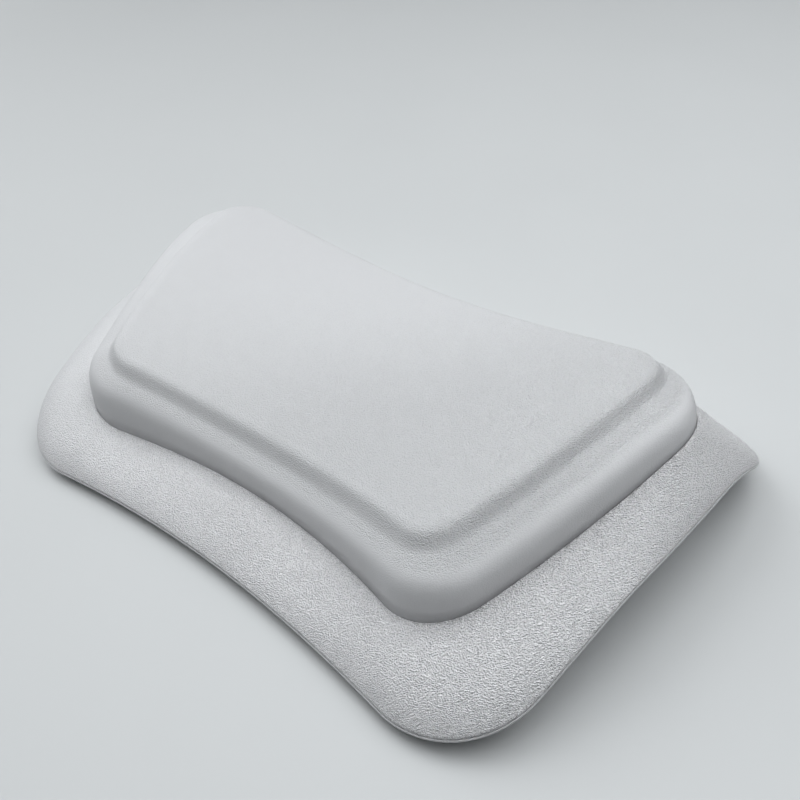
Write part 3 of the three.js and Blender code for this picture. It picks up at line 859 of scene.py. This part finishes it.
def foam_material():
    """Open-cell foam: fine round pores and a slightly yellowed, uneven colour."""
    nodes = Nodes("open_cell_foam")
    pores = nodes.remap(nodes.cells(size=0.7), span=(0.1, 0.55))
    coarse = nodes.cells(size=1.9, vector=nodes.warped(size=3, reach=1))
    coarse = nodes.remap(coarse, span=(0.15, 0.5))
    height = nodes.math("MULTIPLY_ADD", coarse, 0.6, pores)
    color = nodes.blend(nodes.noise(size=9, detail=4), FOAM_LIGHT, FOAM_DARK)
    roughness = nodes.remap(pores, span=(0, 1), results=(0.96, 0.84))
    relief = nodes.bump(height, depth=0.3, strength=0.8)
    return nodes.finish(color, roughness, relief)


def moulded_plastic(name, light, dark, roughness, texture):
    """Hard moulded plastic: an eroded texture of that depth, faint flow marks and a few scuffs."""
    nodes = Nodes(name)
    erosion = nodes.noise(size=0.35, detail=3)
    flow = nodes.noise(size=16, vector=nodes.warped(size=30, reach=24))
    scuffs = nodes.remap(nodes.noise(size=2.2, detail=5), span=(0.62, 0.7))
    color = nodes.blend(flow, light, dark)
    base = nodes.remap(flow, NOISE_SPAN, (roughness, roughness + 0.08))
    gloss = nodes.math("MULTIPLY_ADD", scuffs, 0.14, base)
    waves = nodes.bump(flow, depth=0.12, strength=0.4)
    relief = nodes.bump(erosion, texture, strength=0.6, normal=waves)
    return nodes.finish(color, gloss, relief)


def vinyl_material():
    """Soft milky vinyl: clear enough to glow a little, with haze and a wavy moulded skin."""
    nodes = Nodes("soft_vinyl")
    haze = nodes.noise(size=5, detail=4)
    color = nodes.blend(haze, VINYL_LIGHT, VINYL_DARK)
    nodes.shader.inputs["Transmission Weight"].default_value = 0.45
    nodes.shader.inputs["IOR"].default_value = 1.5
    nodes.shader.inputs["Coat Weight"].default_value = 0.2
    gloss = nodes.remap(haze, NOISE_SPAN, results=(0.14, 0.3))
    texture = nodes.bump(nodes.noise(size=0.5), depth=0.02, strength=0.4)
    relief = nodes.bump(nodes.noise(size=7), depth=0.2, strength=0.5, normal=texture)
    return nodes.finish(color, gloss, relief)


# Stage

# Table top, the colour of the surround, and the metres over which the one passes into the other.
FLOOR_SIDE = 8000
TABLE_LIGHT = (0.55, 0.558, 0.562)
TABLE_DARK = (0.54, 0.548, 0.552)
BACKDROP = (0.59, 0.62, 0.63)
TABLE_FADE = (0.75, 1.4)

# Softboxes: a name as seen by the camera, the azimuth in degrees, for those that stand also the
# elevation, and the power in watts. Their sides, heights, reaches and distances are in metres.
LAMP_COLOR = (0.955, 0.985, 1)
HANGING_SIDE = 0.9
HANGING_HEIGHT = 0.9
HANGING_REACH = 0.45
HANGING_LIGHTS = (
    ("hanging_right", 133.5, 6.8),
    ("hanging_front_right", 88.5, 3.8),
    ("hanging_left", 313.5, 2.8),
    ("hanging_back_left", 268.5, 1.7),
)
STANDING_SIDE = 1.5
STANDING_DISTANCE = 2
STANDING_LIGHTS = (
    ("back_left_high", 268.5, 50, 16),
    ("back_right_high", 178.5, 50, 3.5),
    ("back_left_low", 268.5, 15, 4.5),
)

# Camera: where it stands round its target, in degrees and millimetres, and how far it is rolled.
# The target is a place in the outlines' plan. The focal length is in pixels of the picture, whose
# width in pixels follows it, and the nearest place that is seen is in metres.
CAMERA_AZIMUTH = 44.21
CAMERA_ELEVATION = 41.70
CAMERA_ROLL = -6.885
CAMERA_DISTANCE = 351
CAMERA_TARGET = (34.19, -1.94, FACE_HEIGHT)
FOCAL_PIXELS = 839.5
IMAGE_PIXELS = 800
SENSOR = 36
NEAREST_SEEN = 0.01


def table_material():
    """A pale matt table top with a barely seen mottle."""
    nodes = Nodes("table_top")
    mottle = nodes.remap(nodes.noise(size=120, detail=4), NOISE_SPAN)
    color = nodes.blend(mottle, TABLE_DARK, TABLE_LIGHT)
    relief = nodes.bump(nodes.noise(size=0.8, detail=3), depth=0.02, strength=0.3)
    roughness = nodes.remap(mottle, span=(0, 1), results=(0.6, 0.68))
    table = nodes.finish(color, roughness, relief)
    nodes.fade_out(TABLE_FADE, BACKDROP)
    return table


def polar(azimuth, elevation, distance):
    """A place round the origin. Azimuth 0 is the near side, and 90 the end at +X."""
    a, e = math.radians(azimuth), math.radians(elevation)
    return Vector((math.sin(a) * math.cos(e), -math.cos(a) * math.cos(e), math.sin(e))) * distance


def add_camera():
    """The camera, where a fit to the outlines in the photo puts it."""
    camera = bpy.data.objects.new("camera", bpy.data.cameras.new("camera"))
    bpy.context.scene.collection.objects.link(camera)
    camera.data.sensor_width = SENSOR
    camera.data.lens = FOCAL_PIXELS / IMAGE_PIXELS * SENSOR
    camera.data.clip_start = NEAREST_SEEN
    back = polar(CAMERA_AZIMUTH, CAMERA_ELEVATION, 1)
    target = Vector(in_frame(np.array(CAMERA_TARGET))) * MM
    right = (-back).cross(Vector((0, 0, 1))).normalized()
    up = right.cross(-back)
    roll = math.radians(CAMERA_ROLL)
    turned_right = right * math.cos(roll) + up * math.sin(roll)
    turned_up = up * math.cos(roll) - right * math.sin(roll)
    place = target + back * CAMERA_DISTANCE * MM
    turn = Matrix((turned_right, turned_up, back)).transposed()
    camera.matrix_world = Matrix.Translation(place) @ turn.to_4x4()
    bpy.context.scene.camera = camera


def add_floor():
    """The table top, which belongs to the stage and not to the object."""
    half = FLOOR_SIDE / 2
    corners = np.array([(-half, -half, 0), (half, -half, 0), (half, half, 0), (-half, half, 0)], float)
    floor = add_object("table", corners, [(0, 1, 2, 3)], table_material())


def add_backdrop():
    """A pale surround that is only seen: directly, in reflections and through the vinyl."""
    world = bpy.data.worlds.new("surround")
    world.use_nodes = True
    tree = world.node_tree
    path = tree.nodes.new("ShaderNodeLightPath")
    reflected = tree.nodes.new("ShaderNodeMath")
    reflected.operation = "MAXIMUM"
    tree.links.new(path.outputs["Is Glossy Ray"], reflected.inputs[0])
    tree.links.new(path.outputs["Is Transmission Ray"], reflected.inputs[1])
    seen = tree.nodes.new("ShaderNodeMath")
    seen.operation = "MAXIMUM"
    tree.links.new(path.outputs["Is Camera Ray"], seen.inputs[0])
    tree.links.new(reflected.outputs["Value"], seen.inputs[1])
    surround = tree.nodes["Background"]
    surround.inputs["Color"].default_value = (*BACKDROP, 1)
    tree.links.new(seen.outputs["Value"], surround.inputs["Strength"])
    bpy.context.scene.world = world


def softbox(name, place, aim, side, power):
    """A square lamp that looks from its place at its aim."""
    lamp = bpy.data.lights.new(name, "AREA")
    lamp.size = side
    lamp.energy = power
    lamp.color = LAMP_COLOR
    holder = bpy.data.objects.new(name, lamp)
    bpy.context.scene.collection.objects.link(holder)
    holder.location = place
    holder.rotation_euler = (aim - place).to_track_quat("-Z", "Y").to_euler()


def add_lights():
    """Softboxes that hang over the table look straight down, and wider ones stand behind."""
    for name, azimuth, power in HANGING_LIGHTS:
        foot = polar(azimuth, 0, HANGING_REACH)
        softbox(name, foot + Vector((0, 0, HANGING_HEIGHT)), foot, HANGING_SIDE, power)
    for name, azimuth, elevation, power in STANDING_LIGHTS:
        place = polar(azimuth, elevation, STANDING_DISTANCE)
        softbox(name, place, Vector(), STANDING_SIDE, power)


# Dressing the frame

def dress_pads():
    """The skins and the foam cores, which are the soft parts of the pillow's own body."""
    # Each skin has painted shade in its grain's valleys. The leather also has painted shade towards
    # the far left, and a nearly white colour that paints light onto the flange.
    fine = grain_skin("fine_grain", SKIN_LIGHT,
                      pitch=0.42, depth=0.7, valley_shade_share=0.5, gloss=0.1, graded=True)
    coarse = grain_skin("leather_grain", LEATHER_LIGHT,
                        pitch=0.43, depth=1.9, valley_shade_share=0.42, gloss=0.24, far_left_shade_share=0.78)
    back = grain_skin("back_grain", SKIN_LIGHT, pitch=0.75, depth=0.5, valley_shade_share=0.15, gloss=0.1)
    foam = foam_material()
    covers = (
        (cushion_cover(fine), "cushion_skin", "skin"),
        (flange_cover(coarse), "flange_skin", "skin"),
        (back_cover(back), "back_skin", "skin"),
        (cushion_foam(foam), "cushion_core", "foam"),
        (base_foam(foam), "base_core", "foam"),
    )
    for piece, node, slot in covers:
        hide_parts(node)
        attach(piece, "pillow")


def dress_cups():
    """The sockets, which are part of the pillow's body, and the cups that turn in them."""
    satin = moulded_plastic("socket_plastic", SOCKET_LIGHT, SOCKET_DARK,
                            roughness=0.24, texture=0.015)
    vinyl = vinyl_material()
    for corner in CUP_PLACES:
        holder = socket(corner, satin)
        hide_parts("cup_socket_" + corner)
        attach(holder, "pillow")
        cup = suction_cup(corner, vinyl)
        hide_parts("suction_cup_" + corner)
        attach(cup, "cup_" + corner)


def dress_plate():
    """The plate only gets its plastic, and keeps the shape that it has in the frame."""
    plate = moulded_plastic("plate_plastic", PLATE_LIGHT, PLATE_DARK, roughness=0.42, texture=0.03)
    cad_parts["stiffener_plate"].material_slots[0].material = plate


def main():
    """Dresses the frame and sets the stage for it."""
    dress_pads()
    dress_cups()
    dress_plate()
    add_camera()
    add_floor()
    add_backdrop()
    add_lights()
    bpy.context.scene.view_settings.view_transform = "Standard"


main()
